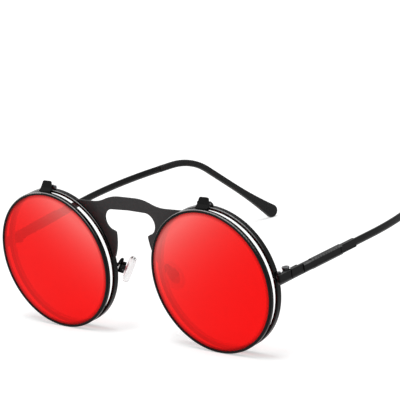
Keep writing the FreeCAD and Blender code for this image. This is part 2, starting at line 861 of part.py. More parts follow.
def make_flip_tab():
    """Thumb tab that carries the tinted rim: leaning plate, foot on the rim, and the knuckle."""
    body = new_body("left_flip_tab")
    lean = angle("tab_lean_angle")
    barrel = size("flip_barrel_radius")
    near = barrel + size("tab_clearance")
    far = near + size("tab_thickness")

    def off(distance, rise):
        """A place that far in front of the axis and that far up the leaning plate."""
        return (rise * sine(lean) - distance * cosine(lean), distance * sine(lean) + rise * cosine(lean))

    foot_front = -size("flip_gap")
    foot_high = -size("flip_axis_rise")
    foot_low = foot_high - size("tab_foot_height")
    side = [
        (foot_front, foot_low),
        (foot_front + size("tab_foot_depth"), foot_low),
        off(near, -size("tab_rise")),
        off(near, size("tab_rise")),
        off(far, size("tab_rise")),
        off(far, -size("tab_thickness")),
        (foot_front, foot_high),
    ]
    pad(body, draw(body, "YZ_Plane", side), size("tab_half_width") * 2, both=True)
    top = off(far, size("tab_rise"))[1]
    shoulder = -size("tab_shoulder")
    for turn in (1, -1):
        corner = [
            (size("tab_half_width") * turn, shoulder),
            ((size("tab_half_width") + overrun) * turn, shoulder),
            ((size("tab_half_width") + overrun) * turn, top),
            (size("tab_top_half_width") * turn, top),
        ]
        cut(body, draw(body, "XZ_Plane", corner))

    def top_corner(edge):
        spots = [vertex.Point for vertex in edge.Vertexes]
        high = all(spot.z > top.value - size("tab_thickness").value for spot in spots)
        return high and abs(spots[0].y - spots[-1].y) > NEAR

    round_edges(body, size("tab_corner_round"), top_corner)
    web = [off(ZERO, -barrel), off(ZERO, barrel), off(near, barrel), off(near, -barrel)]
    width = size("knuckle_half_width") * 2
    pad(body, draw(body, "YZ_Plane", web), width, both=True)
    pad(body, draw_circle(body, "YZ_Plane", (ZERO, ZERO), barrel), width, both=True)
    bore = size("flip_screw_radius") + size("running_clearance")
    cut(body, draw_circle(body, "YZ_Plane", (ZERO, ZERO), bore), width)
    keep(body, at_flip_axis)


# Nose pad: its pivot, and the way its face looks
pad_rotation = FreeCAD.Rotation(-Y_AXIS, Z_AXIS, -X_AXIS, "ZYX")
pad_rotation = FreeCAD.Rotation(Z_AXIS, -size("pad_turn_angle").value).multiply(pad_rotation)
pad_rotation = FreeCAD.Rotation(Y_AXIS, -size("pad_lean_angle").value).multiply(pad_rotation)
pad_pivot = (size("pad_pivot_side"), rear_back + size("pad_pivot_back"), -size("pad_pivot_drop"))
at_pad = FreeCAD.Placement(vector(*pad_pivot), pad_rotation)

# The wire ends in the middle of the box's floor and starts on the back of the rim.
floor_mid = size("box_floor") + size("box_floor_thickness") / 2
facing = (cosine(angle("pad_turn_angle")) * cosine(angle("pad_lean_angle")), -sine(angle("pad_turn_angle")),
          cosine(angle("pad_turn_angle")) * sine(angle("pad_lean_angle")))
wire_end = [pivot + floor_mid * part for pivot, part in zip(pad_pivot, facing)]
rim_middle = (rim_inner + rim_outer) / 2
foot_up = -size("pad_foot_drop")
foot_side = half_spacing - root(rim_middle * rim_middle - foot_up * foot_up)
wire_start = rear_back + size("pad_foot_thickness") / 2
end_side = wire_end[0] - foot_side
end_up = wire_end[2] - foot_up
# The gooseneck leans with the pad: from its foot the wire ends this far to the side, back and up.
wire_side = end_side * cosine(angle("pad_lean_angle")) + end_up * sine(angle("pad_lean_angle"))
wire_back = wire_end[1] - wire_start
wire_up = end_up * cosine(angle("pad_lean_angle")) - end_side * sine(angle("pad_lean_angle"))
wire_span = root(wire_side * wire_side + wire_back * wire_back)
wire_heading = math.degrees(math.atan2(-wire_side.value, wire_back.value))
wire_rotation = FreeCAD.Rotation(Y_AXIS, -size("pad_lean_angle").value)
wire_rotation = wire_rotation.multiply(FreeCAD.Rotation(Z_AXIS, wire_heading))
at_foot = FreeCAD.Placement(vector(foot_side, rear_back, foot_up), FreeCAD.Rotation())
at_wire = FreeCAD.Placement(vector(foot_side, wire_start, foot_up), wire_rotation)


def make_oval(body, half_width, end_radius, end_offset, level):
    """Oval of four arcs: round ends, and sides that run into them without a corner."""
    side_radius = ((half_width * half_width + end_offset * end_offset - end_radius * end_radius)
                   / ((half_width - end_radius) * 2))
    side_centre = side_radius - half_width
    share = end_radius / (side_radius - end_radius)
    across = side_centre * share
    up = end_offset + end_offset * share
    points = [(across, -up), (across, up), (-across, up), (-across, -up)]
    arcs = {0: (side_radius, 1), 1: (end_radius, 1), 2: (side_radius, 1), 3: (end_radius, 1)}
    sketch = draw(body, "XY_Plane", points, arcs)
    sketch.setExpression("AttachmentOffset.Base.z", level.text)
    return sketch


def make_pad_arm():
    """Foot on the rim, gooseneck wire and the box that holds the pad, brazed into one piece."""
    foot = new_body("pad_foot")
    disc = draw_circle(foot, "XZ_Plane", (ZERO, ZERO), size("pad_foot_radius"))
    pad(foot, disc, size("pad_foot_thickness"), backward=True)
    foot.Placement = at_foot
    wire = new_body("pad_wire")
    rise = (wire_span - size("wire_run")) * WIRE_RISE_SHARE
    over = (wire_span - size("wire_run") - rise) / 2
    path = [
        (ZERO, ZERO),
        (size("wire_run"), ZERO),
        (size("wire_run") + rise, rise),
        (wire_span - over, rise + over),
        (wire_span, rise),
        (wire_span, wire_up),
    ]
    arcs = {1: (rise, 1), 2: (over, -1), 3: (over, -1)}
    spine = draw(wire, "YZ_Plane", path, arcs, closed=False)
    pipe = wire.newObject("PartDesign::AdditivePipe", "gooseneck")
    pipe.Profile = draw_circle(wire, "XZ_Plane", (ZERO, ZERO), size("wire_radius"))
    pipe.Spine = (spine, [f"Edge{number}" for number in range(1, len(path))])
    wire.Placement = at_wire
    doc.recompute()
    box = new_body("pad_box")
    low = -(size("box_floor") + size("box_floor_thickness"))
    length = size("box_half_length") * 2
    shell = box_points(-size("box_half_width"), size("box_half_width"), low, size("box_front"))
    pad(box, draw(box, "XZ_Plane", shell), length, both=True)
    half_slot = size("lug_thickness") / 2 + size("lug_side_gap")
    slot = box_points(-half_slot, half_slot, -size("box_floor"), size("box_front") + overrun)
    cut(box, draw(box, "XZ_Plane", slot))
    cut(box, draw_circle(box, "YZ_Plane", (ZERO, ZERO), size("pad_screw_radius")))
    box.Placement = at_pad
    doc.recompute()
    arm = doc.addObject("Part::MultiFuse", "left_pad_arm")
    arm.Shapes = [foot, wire, box]
    doc.recompute()
    keep(arm, FreeCAD.Placement())


def make_nose_pad():
    """Clear soft oval with a bed in its back for the metal insert."""
    body = new_body("left_nose_pad")
    level = size("pad_standoff")
    shape = (size("pad_half_width"), size("pad_end_radius"), size("pad_end_offset"), level)
    pad(body, make_oval(body, *shape), size("pad_thickness"))
    heights = (level.value, (level + size("pad_thickness")).value)
    round_edges(body, size("pad_edge_round"),
                lambda edge: any(lies_at(edge, 2, height) for height in heights))
    play = size("insert_play")
    bed = make_oval(body, size("insert_half_width") + play, size("insert_end_radius") + play,
                    size("insert_end_offset"), level)
    cut(body, bed, size("insert_thickness"), both=False, backward=True)
    keep(body, at_pad)


def make_pad_insert():
    """Metal plate in the back of the pad, with the lug that hangs on the pad screw."""
    body = new_body("left_pad_insert")
    level = size("pad_standoff")
    shape = (size("insert_half_width"), size("insert_end_radius"), size("insert_end_offset"), level)
    pad(body, make_oval(body, *shape), size("insert_thickness"))
    radius = size("lug_radius")
    lug = [(-radius, level), (-radius, ZERO), (ZERO, -radius), (radius, ZERO), (radius, level)]
    pad(body, draw(body, "YZ_Plane", lug, {1: (radius, 1), 2: (radius, 1)}), size("lug_thickness"), both=True)
    bore = size("pad_screw_radius") + size("running_clearance")
    cut(body, draw_circle(body, "YZ_Plane", (ZERO, ZERO), bore))
    keep(body, at_pad)


make_rim("left_flip_rim", at_flip_lens, split=False)
make_lens("left_flip_lens", at_flip_lens)
make_rim("left_rim", at_clear_lens, split=True)
make_lens("left_clear_lens", at_clear_lens)
make_bridge()
make_end_piece()
make_rim_lock()
make_front_leaf()
make_temple_leaf()
make_temple_arm()
make_temple_sleeve()
make_core()
make_tip()
make_flip_bracket()
make_flip_tab()
make_pad_arm()
make_nose_pad()
make_pad_insert()

make_screw("left_lock_screw", at_hinge.multiply(shifted(vector(lock_side, lock_depth, half_end))),
           size("lock_screw_radius"), size("end_plate_height"), size("lock_head_radius"),
           size("lock_head_height"))
make_screw("left_temple_screw", at_hinge.multiply(shifted(vector(ZERO, ZERO, half_end))),
           size("temple_screw_radius"), size("end_plate_height"), size("temple_head_radius"),
           size("temple_head_height"))
flip_screw_top = shifted(vector(-size("lug_half_width"), ZERO, ZERO))
make_screw("left_flip_screw", at_flip_axis.multiply(flip_screw_top).multiply(turned(Y_AXIS, -90)),
           size("flip_screw_radius"), size("lug_half_width") * 2, size("flip_head_radius"),
           size("flip_head_height"))
pad_screw_top = shifted(vector(-size("box_half_width"), ZERO, ZERO))
make_screw("left_pad_screw", at_pad.multiply(pad_screw_top).multiply(turned(Y_AXIS, -90)),
           size("pad_screw_radius"), size("box_half_width") * 2, size("pad_head_radius"),
           size("pad_head_height"))


def resting_lean():
    """Angle at which the front edge of the tinted rims and the temple tips touch one table."""
    edge = size("rim_edge_round").value
    tip_half = size("tip_end_height").value / 2
    tip_edge = size("tip_edge_round").value
    tip_centre = along_tip(size("tip_length") - size("tip_end_height") / 2)
    centre = at_tip.multVec(vector(ZERO, *tip_centre))
    axes = [at_tip.Rotation.multVec(axis) for axis in (X_AXIS, Y_AXIS, Z_AXIS)]

    def difference(lean):
        down = FreeCAD.Vector(0, -math.sin(lean), -math.cos(lean))
        sideways, along, upward = (abs(down.dot(axis)) for axis in axes)
        tip = centre.dot(down) + (tip_half - tip_edge) * math.hypot(along, upward) + tip_edge
        tip += (size("tip_thickness").value / 2 - tip_edge) * sideways
        rim = (rim_outer.value - edge) * math.cos(lean) - edge * math.sin(lean) + edge
        return tip - rim

    low, high = 0.0, math.radians(45)
    while high - low > LEAN_STEP:
        middle = (low + high) / 2
        if difference(middle) > 0:
            low = middle
        else:
            high = middle
    return math.degrees(low)


def whole_box():
    """Box around all the pieces, from the left half and its mirror image."""
    box = FreeCAD.BoundBox()
    for item, _ in pieces.values():
        box.add(item.Shape.optimalBoundingBox(False))
    return box


def stand(place):
    for item, own_place in pieces.values():
        item.Placement = place.multiply(own_place)
    doc.recompute()


lean = turned(X_AXIS, resting_lean())
stand(lean)
box = whole_box()
stance = shifted(FreeCAD.Vector(0, -(box.YMin + box.YMax) / 2, -box.ZMin)).multiply(lean)
stand(stance)

nodes = {}
for name, (item, _) in pieces.items():
    nodes[name] = item
    if name.startswith("left_"):
        twin = doc.addObject("Part::Mirroring", name.replace("left_", "right_"))
        twin.Label = name.replace("left_", "right_")
        twin.Source = item
        twin.Normal = X_AXIS
        nodes[twin.Label] = twin
doc.recompute()

for item in doc.Objects:
    if "Invalid" in item.State or "Error" in item.State:
        raise RuntimeError(f"{item.Label} failed: {item.State}")
for label, item in nodes.items():
    if item.Shape.isNull() or not item.Shape.isValid() or len(item.Shape.Solids) != 1:
        raise RuntimeError(f"{label} is not one sound solid")

os.makedirs("parts", exist_ok=True)
for label, item in nodes.items():
    item.Shape.exportStep(f"parts/{label}.step")
print(len(nodes), "pieces, lean", round(lean.Rotation.Angle * 180 / math.pi, 3), "degrees")
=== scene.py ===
import json
import math

import bpy
import numpy as np
from mathutils import Matrix, Vector


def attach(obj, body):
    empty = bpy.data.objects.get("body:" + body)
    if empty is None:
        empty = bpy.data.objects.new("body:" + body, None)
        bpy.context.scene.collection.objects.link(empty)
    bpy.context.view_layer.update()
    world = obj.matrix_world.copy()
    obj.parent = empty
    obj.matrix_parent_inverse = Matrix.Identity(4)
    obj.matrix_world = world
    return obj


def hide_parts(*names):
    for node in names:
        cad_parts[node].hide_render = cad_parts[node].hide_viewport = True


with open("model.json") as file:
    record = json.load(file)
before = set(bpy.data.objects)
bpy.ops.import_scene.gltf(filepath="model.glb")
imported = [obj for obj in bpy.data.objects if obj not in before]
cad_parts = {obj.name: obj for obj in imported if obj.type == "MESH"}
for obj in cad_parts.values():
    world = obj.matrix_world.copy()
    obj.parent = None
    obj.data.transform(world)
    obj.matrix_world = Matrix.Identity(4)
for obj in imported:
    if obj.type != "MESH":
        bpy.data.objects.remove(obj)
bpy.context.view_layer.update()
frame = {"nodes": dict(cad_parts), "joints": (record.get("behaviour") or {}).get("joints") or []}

# Flip-up round sunglasses, standing open on a pale table as photographed.
# All lengths are in metres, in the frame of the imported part: +Z up, the front faces -Y
# and the wearer's left is +X.

nodes = frame["nodes"]
joints = {joint["name"]: joint for joint in frame["joints"]}
MM = 0.001

# The front leans a little on the table. Its own frame has the origin midway between the
# tinted lenses; the flip hinge and the temple hinge tell how it stands in the part's frame.
# The flip hinge's axis is as far back as the clear lens is behind the tinted one.
CLEAR_LENS_BACK = 4.2 * MM
FLIP_AXIS_UP = 26.45 * MM
flip_place = joints["left_flip_hinge"]["pos_m"]
temple_axis = joints["left_temple_hinge"]["axis"]
lens_side = flip_place[0]
lean = Matrix.Rotation(math.atan2(-temple_axis[1], temple_axis[2]), 3, "X")
front_origin = Vector(flip_place) - lean @ Vector((lens_side, CLEAR_LENS_BACK, FLIP_AXIS_UP))
front_way = lean @ Vector((0.0, -1.0, 0.0))


def put(name, data):
    """An object in the scene that holds the data."""
    made = bpy.data.objects.new(name, data)
    bpy.context.scene.collection.objects.link(made)
    return made


# Camera

# It is fitted to the outlines of the two lenses and to the line of the near temple. Its angles
# are in the front's own frame. The focal length and the place where the front's origin shows are
# in pixels of a square picture.
PICTURE_SIZE = 400
FOCAL_LENGTH = 1900.518
ORIGIN_ACROSS = 128.918
ORIGIN_DOWN = 271.158
VIEW_TURN = math.radians(42.007)
VIEW_HEIGHT = math.radians(17.386)
VIEW_ROLL = math.radians(-8.966)
VIEW_DISTANCE = 652.449 * MM
SENSOR_WIDTH_MM = 36.0
NEAREST_SEEN = 10.0 * MM
FARTHEST_SEEN = 20.0


def make_camera():
    """Camera at the photograph's place: it looks past the front's origin by the aim, and is rolled."""
    level = Vector((math.cos(VIEW_TURN), math.sin(VIEW_TURN), 0.0))
    away = Vector((math.sin(VIEW_TURN), -math.cos(VIEW_TURN), 0.0))
    back = away * math.cos(VIEW_HEIGHT) + Vector((0.0, 0.0, math.sin(VIEW_HEIGHT)))
    rise = back.cross(level)
    right = level * math.cos(VIEW_ROLL) + rise * math.sin(VIEW_ROLL)
    up = rise * math.cos(VIEW_ROLL) - level * math.sin(VIEW_ROLL)
    aim_right = (ORIGIN_ACROSS - PICTURE_SIZE / 2) / FOCAL_LENGTH
    aim_up = (PICTURE_SIZE / 2 - ORIGIN_DOWN) / FOCAL_LENGTH
    place = (back - right * aim_right - up * aim_up) * VIEW_DISTANCE
    data = bpy.data.cameras.new("photo_camera")
    data.sensor_width = SENSOR_WIDTH_MM
    data.lens = SENSOR_WIDTH_MM * FOCAL_LENGTH / PICTURE_SIZE
    data.clip_start = NEAREST_SEEN
    data.clip_end = FARTHEST_SEEN
    camera = put("photo_camera", data)
    turn = Matrix((lean @ right, lean @ up, lean @ back)).transposed().to_4x4()
    camera.matrix_world = Matrix.Translation(lean @ place + front_origin) @ turn
    bpy.context.scene.camera = camera


make_camera()


# Materials

# Each material has a function that adds its nodes to a tree and gives back its shader. Grain and
# tool marks that are too fine to show are drawn coarser than they are.

# The sockets of a Mix node that blends colours: three inputs and the output
SHARE, FIRST, SECOND, MIXED = 0, 6, 7, 2

# The middle range of a noise, which is spread over a whole span, and how its layers fall off
NOISE_LOW = 0.3
NOISE_HIGH = 0.7
NOISE_DETAIL = 3.0
NOISE_FALL = 0.55


def linear(code):
    """An sRGB hex colour as linear red, green, blue and an alpha of one."""
    parts = np.array([int(code[i:i + 2], 16) for i in (1, 3, 5)]) / 255
    parts = np.where(parts <= 0.04045, parts / 12.92, ((parts + 0.055) / 1.055) ** 2.4)
    return (*parts.tolist(), 1.0)


def add(tree, kind, inputs=None, **settings):
    """One node with its settings. An input is linked if it is a socket or a node, which gives its
    first output. Otherwise it is the socket's value, and a hex code stands for a colour."""
    node = tree.nodes.new("ShaderNode" + kind)
    for name, value in settings.items():
        setattr(node, name, value)
    for socket, value in (inputs or {}).items():
        if isinstance(value, bpy.types.Node):
            value = value.outputs[0]
        if isinstance(value, bpy.types.NodeSocket):
            tree.links.new(value, node.inputs[socket])
        else:
            node.inputs[socket].default_value = linear(value) if isinstance(value, str) else value
    return node


def material(name, shade, **finish):
    """A material whose surface is the shader that shade adds to its tree."""
    made = bpy.data.materials.new(name)
    made.use_nodes = True
    tree = made.node_tree
    tree.nodes.clear()
    add(tree, "OutputMaterial", {"Surface": shade(tree, **finish)})
    return made


def patchy(tree, width, low, high):
    """A number or a colour that drifts from low to high over patches about as wide as width."""
    place = add(tree, "TexCoord").outputs["Object"]
    noise = add(tree, "TexNoise", {"Vector": place, "Scale": 1 / width, "Detail": NOISE_DETAIL,
                                   "Roughness": NOISE_FALL})
    span = {"Value": noise, "From Min": NOISE_LOW, "From Max": NOISE_HIGH}
    if not isinstance(low, str):
        return add(tree, "MapRange", {**span, "To Min": low, "To Max": high}).outputs["Result"]
    colours = {SHARE: add(tree, "MapRange", span), FIRST: low, SECOND: high}
    return add(tree, "Mix", colours, data_type="RGBA").outputs[MIXED]


def grained(tree, width, depth, strength, detail=NOISE_DETAIL):
    """The normal of a surface with a grain about as wide as width and as high as depth."""
    place = add(tree, "TexCoord").outputs["Object"]
    height = add(tree, "TexNoise", {"Vector": place, "Scale": 1 / width, "Detail": detail,
                                    "Roughness": NOISE_FALL})
    return add(tree, "Bump", {"Height": height, "Strength": strength, "Distance": depth})


def paint_table_reflection(tree, colour, normal, worn):
    """The colour, paler where the surface faces down: a painted reflection of the pale table. Its share
    falls from all to none as the surface turns from facing down to facing sideways."""
    height = add(tree, "SeparateXYZ", {"Vector": normal}).outputs["Z"]
    share = add(tree, "MapRange", {"Value": height, "From Min": -0.45, "From Max": -0.08,
                                   "To Min": 1.0, "To Max": 0.0})
    return add(tree, "Mix", {SHARE: share, FIRST: colour, SECOND: worn}, data_type="RGBA").outputs[MIXED]


# Widths of the lacquer's patches and of its orange peel, and how far round a lower edge the painted
# reflection of the table reaches
LACQUER_PATCH = 3.0 * MM
LACQUER_GLOSS_PATCH = 1.2 * MM
PEEL_WIDTH = 0.5 * MM
PEEL_DEPTH = 0.02 * MM
PEEL_DETAIL = 1.0
LOWER_EDGE = 1.5 * MM
LOWER_EDGE_SAMPLES = 8


def lacquer(tree, dark, pale, worn, smooth, rough, peel, below=None):
    """Baked lacquer on metal: sprayed as a fine coat, so it is smooth with a slight orange peel. The upper
    corners, where the lacquer turns from facing the front to facing outwards, carry a painted highlight
    in a paler grey. Where a colour for the lower edges is given, they carry that as a painted
    reflection of the table."""
    normal = add(tree, "TexCoord").outputs["Normal"]
    facing = add(tree, "VectorMath", {0: normal, 1: front_way}, operation="DOT_PRODUCT").outputs["Value"]
    turning = add(tree, "MapRange", {"Value": facing, "From Min": 0.2, "From Max": 0.45})
    slanting = add(tree, "MapRange", {"Value": facing, "From Min": 0.8, "From Max": 0.95,
                                      "To Min": 1.0, "To Max": 0.0})
    height = add(tree, "SeparateXYZ", {"Vector": normal}).outputs["Z"]
    upper = add(tree, "MapRange", {"Value": height, "From Min": 0.3, "From Max": 0.6})
    # The paler grey on the upper front corners is a painted highlight.
    corner = add(tree, "Math", {0: turning, 1: slanting}, operation="MULTIPLY")
    corner_highlight = add(tree, "Math", {0: corner, 1: upper}, operation="MULTIPLY")
    colours = {SHARE: corner_highlight, FIRST: patchy(tree, LACQUER_PATCH, dark, pale), SECOND: worn}
    colour = add(tree, "Mix", colours, data_type="RGBA").outputs[MIXED]
    # Lower edges get a painted reflection of the pale table.
    if below:
        edge = add(tree, "Bevel", {"Radius": LOWER_EDGE}, samples=LOWER_EDGE_SAMPLES)
        edge = add(tree, "VectorTransform", {"Vector": edge}, vector_type="NORMAL",
                   convert_from="WORLD", convert_to="OBJECT").outputs["Vector"]
        colour = paint_table_reflection(tree, colour, edge, below)
    return add(tree, "BsdfPrincipled", {
        "Base Color": colour,
        "Roughness": patchy(tree, LACQUER_GLOSS_PATCH, smooth, rough),
        "IOR": 1.5,
        "Specular IOR Level": 0.12,
        "Normal": grained(tree, PEEL_WIDTH, PEEL_DEPTH, strength=peel, detail=PEEL_DETAIL),
    })


SHEET_PATCH = 0.9 * MM
SHEET_GLOSS_PATCH = 0.6 * MM
SHEET_GRAIN_WIDTH = 0.35 * MM
SHEET_GRAIN_DEPTH = 0.03 * MM


def satin_sheet(tree):
    """Stamped sheet with a satin charcoal coat. The punched edges keep less of the coat's grain and
    read darker."""
    normal = add(tree, "NewGeometry").outputs["Normal"]
    facing = add(tree, "VectorMath", {0: normal, 1: front_way}, operation="DOT_PRODUCT").outputs["Value"]
    facing = add(tree, "Math", {0: facing}, operation="ABSOLUTE")
    face = add(tree, "MapRange", {"Value": facing, "From Min": 0.55, "From Max": 0.97})
    colours = {SHARE: face, FIRST: "#121112", SECOND: patchy(tree, SHEET_PATCH, "#2c2a2b", "#343233")}
    return add(tree, "BsdfPrincipled", {
        "Base Color": add(tree, "Mix", colours, data_type="RGBA").outputs[MIXED],
        "Roughness": patchy(tree, SHEET_GLOSS_PATCH, 0.38, 0.5),
        "IOR": 1.5,
        "Specular IOR Level": 0.25,
        "Normal": grained(tree, SHEET_GRAIN_WIDTH, SHEET_GRAIN_DEPTH, strength=0.12),
    })


ACETATE_PATCH = 0.8 * MM
ACETATE_GLOSS_PATCH = 0.5 * MM
ACETATE_GRAIN_WIDTH = 0.4 * MM
ACETATE_GRAIN_DEPTH = 0.03 * MM


def matte_acetate(tree):
    """Moulded matte black acetate: a fine even grain, and paler where it faces down, a painted reflection
    of the table.
    """
    normal = add(tree, "TexCoord").outputs["Normal"]
    colour = patchy(tree, ACETATE_PATCH, "#1a1a1a", "#242424")
    # The paler grey on faces that turn down is a painted reflection of the table.
    return add(tree, "BsdfPrincipled", {
        "Base Color": paint_table_reflection(tree, colour, normal, "#525252"),
        "Roughness": patchy(tree, ACETATE_GLOSS_PATCH, 0.42, 0.58),
        "IOR": 1.47,
        "Specular IOR Level": 0.16,
        "Normal": grained(tree, ACETATE_GRAIN_WIDTH, ACETATE_GRAIN_DEPTH, strength=0.1),
    })


TURNED_MARK = 0.3 * MM
DRAWN_MARK = 0.4 * MM
PLATED_MARK = 0.6 * MM


def bare_metal(tree, dark, pale, mark):
    """Turned, drawn or plated metal: its colour and polish vary over patches as wide as the marks that
    its making leaves."""
    return add(tree, "BsdfPrincipled", {
        "Base Color": patchy(tree, mark, dark, pale),
        "Metallic": 1.0,
        "Roughness": patchy(tree, mark, 0.25, 0.4),
    })


# The painted sheen that pales the mirror film: the way that it grows, inwards and up; how far from the
# lens's middle it is palest; and the distance over which that falls off. Then the radii of the painted
# shade where the rim shades the film.
SHEEN_WAY = (0.585, 0.811, 0.0)
SHEEN_REACH = 21.0 * MM
SHEEN_FALL = 7.4 * MM
SHADE_START = 23.2 * MM
SHADE_END = 24.6 * MM
FILM_GLOSS_PATCH = 6.0 * MM
FILM_PASSES = 0.27


def red_mirror_film(tree):
    """Red mirror film on the front of the lens, which passes about a quarter of the light. Towards the
    upper inner side it has a painted sheen of paler red: the sheen's share is e to the power of the
    distance beyond its reach over its fall, no more than one. Beside the rim it darkens with painted shade."""
    place = add(tree, "TexCoord").outputs["Object"]
    apart = add(tree, "SeparateXYZ", {"Vector": place}).outputs
    aside = add(tree, "Math", {0: apart["X"]}, operation="ABSOLUTE")
    inward = add(tree, "Math", {0: lens_side, 1: aside}, operation="SUBTRACT")
    above = add(tree, "Math", {0: apart["Z"], 1: front_origin.z}, operation="SUBTRACT")
    across = add(tree, "CombineXYZ", {"X": inward, "Y": above})
    along = add(tree, "VectorMath", {0: across, 1: SHEEN_WAY}, operation="DOT_PRODUCT").outputs["Value"]
    beyond = add(tree, "Math", {0: along, 1: SHEEN_REACH}, operation="SUBTRACT")
    power = add(tree, "Math", {0: beyond, 1: SHEEN_FALL}, operation="DIVIDE")
    sheen_share = add(tree, "Math", {0: power}, operation="EXPONENT", use_clamp=True)
    # The paler red is a painted sheen.
    colours = {SHARE: sheen_share, FIRST: "#f61a1a", SECOND: "#fc7975"}
    colour = add(tree, "Mix", colours, data_type="RGBA").outputs[MIXED]
    radius = add(tree, "VectorMath", {0: across}, operation="LENGTH").outputs["Value"]
    # The dark red beside the rim is painted shade.
    shade = add(tree, "MapRange", {"Value": radius, "From Min": SHADE_START, "From Max": SHADE_END})
    colours = {SHARE: shade, FIRST: colour, SECOND: "#6e1010"}
    film = add(tree, "BsdfPrincipled", {
        "Base Color": add(tree, "Mix", colours, data_type="RGBA").outputs[MIXED],
        "Metallic": 1.0,
        "Roughness": patchy(tree, FILM_GLOSS_PATCH, 0.2, 0.26),
    })
    through = add(tree, "BsdfTransparent", {"Color": "#f62a2a"})
    return add(tree, "MixShader", {0: FILM_PASSES, 1: film, 2: through})


LENS_GLOSS_PATCH = 4.0 * MM
MIRROR_STRAIGHT = 0.015
MIRROR_SLANT = 0.6


def polycarbonate(tree, mirrors, passes, smooth, rough):
    """Cast polycarbonate with polished faces. A face mirrors MIRROR_STRAIGHT of the light that meets
    it straight on, and MIRROR_SLANT more by the fifth power of one less the cosine. The rest passes."""
    slant = add(tree, "LayerWeight").outputs["Facing"]
    fifth = add(tree, "Math", {0: slant, 1: 5.0}, operation="POWER")
    share = add(tree, "Math", {0: fifth, 1: MIRROR_SLANT, 2: MIRROR_STRAIGHT}, operation="MULTIPLY_ADD")
    polish = patchy(tree, LENS_GLOSS_PATCH, smooth, rough)
    shine = add(tree, "BsdfGlossy", {"Color": mirrors, "Roughness": polish})
    through = add(tree, "BsdfTransparent", {"Color": passes})
    return add(tree, "MixShader", {0: share, 1: through, 2: shine})


GRINDING_MARK = 0.5 * MM


def ground_edge(tree):
    """Edge of a clear lens as it leaves the grinding wheel: frosted white."""
    return add(tree, "BsdfPrincipled", {
        "Base Color": patchy(tree, GRINDING_MARK, "#e9ecec", "#f7f9f9"),
        "Roughness": patchy(tree, GRINDING_MARK, 0.5, 0.7),
        "IOR": 1.5,
        "Specular IOR Level": 0.3,
    })


SILICONE_PATCH = 1.5 * MM
SILICONE_GLOSS_PATCH = 0.8 * MM


def clear_silicone(tree):
    """Clear moulded silicone: soft, a little cloudy and slightly rough."""
    return add(tree, "BsdfPrincipled", {
        "Base Color": patchy(tree, SILICONE_PATCH, "#fefcfc", "#ffffff"),
        "Roughness": patchy(tree, SILICONE_GLOSS_PATCH, 0.1, 0.2),
        "IOR": 1.2,
        "Transmission Weight": 0.9,
    })


# The temple's sleeve: how deep a slice of each end is measured, how far above and below its middle
# line the rails begin, how far along they end, and how wide their borders are
SLEEVE_SLICE = 0.5 * MM
RAIL_INSIDE = 1.0 * MM
RAIL_END = 19.1 * MM
RAIL_BORDER = 0.15 * MM
SLEEVE_PATCH = 0.9 * MM


def sleeve_line():
    """The left sleeve's middle at its front end, the way to its middle at the far end, and the way
    across that which is nearest to the temple hinge's axis."""
    mesh = nodes["left_temple_sleeve"].data
    points = np.empty(len(mesh.vertices) * 3)
    mesh.vertices.foreach_get("co", points)
    points = points.reshape(-1, 3)
    near = points[points[:, 1] < points[:, 1].min() + SLEEVE_SLICE]
    far = points[points[:, 1] > points[:, 1].max() - SLEEVE_SLICE]
    middle = (near.min(axis=0) + near.max(axis=0)) / 2
    along = Vector((far.min(axis=0) + far.max(axis=0)) / 2 - middle).normalized()
    across = Vector(temple_axis) - along * along.dot(Vector(temple_axis))
    return Vector(middle), along, across.normalized()


def railed_lacquer(tree):
    """Satin black lacquer of the temple's sleeve. The two rails along its outer face carry a painted
    highlight in a paler grey, the upper one most, and the panel between them keeps its black. Places
    are measured from the sleeve's line, with both temples laid on +X."""
    middle, along, across = sleeve_line()
    surface = add(tree, "TexCoord").outputs
    apart = add(tree, "SeparateXYZ", {"Vector": surface["Object"]}).outputs
    aside = add(tree, "Math", {0: apart["X"]}, operation="ABSOLUTE")
    place = add(tree, "CombineXYZ", {"X": aside, "Y": apart["Y"], "Z": apart["Z"]})
    place = add(tree, "VectorMath", {0: place, 1: middle}, operation="SUBTRACT")
    height = add(tree, "VectorMath", {0: place, 1: across}, operation="DOT_PRODUCT").outputs["Value"]
    reach = add(tree, "VectorMath", {0: place, 1: along}, operation="DOT_PRODUCT").outputs["Value"]
    upper = add(tree, "MapRange", {"Value": height, "From Min": RAIL_INSIDE,
                                   "From Max": RAIL_INSIDE + RAIL_BORDER})
    upper = add(tree, "Math", {0: upper, 1: patchy(tree, SLEEVE_PATCH, 0.4, 1.0)}, operation="MULTIPLY")
    lower = add(tree, "MapRange", {"Value": height, "From Min": -RAIL_INSIDE - RAIL_BORDER,
                                   "From Max": -RAIL_INSIDE, "To Min": 0.8, "To Max": 0.0})
    before = add(tree, "MapRange", {"Value": reach, "From Min": RAIL_END,
                                    "From Max": RAIL_END + RAIL_BORDER, "To Min": 1.0, "To Max": 0.0})
    sideways = add(tree, "SeparateXYZ", {"Vector": surface["Normal"]}).outputs["X"]
    sideways = add(tree, "Math", {0: sideways}, operation="ABSOLUTE")
    outer = add(tree, "MapRange", {"Value": sideways, "From Min": 0.1, "From Max": 0.5})
    outer = add(tree, "Math", {0: outer, 1: before}, operation="MULTIPLY")
    rails = add(tree, "Math", {0: upper, 1: lower}, operation="ADD")
    rails = add(tree, "Math", {0: rails, 1: outer}, operation="MULTIPLY")
    # The paler grey of the rails is a painted highlight.
    colours = {SHARE: rails, FIRST: patchy(tree, SLEEVE_PATCH, "#080808", "#0f0f0f"), SECOND: "#747474"}
    return add(tree, "BsdfPrincipled", {
        "Base Color": add(tree, "Mix", colours, data_type="RGBA").outputs[MIXED],
        "Roughness": patchy(tree, LACQUER_GLOSS_PATCH, 0.26, 0.36),
        "IOR": 1.5,
        "Specular IOR Level": 0.12,
    })
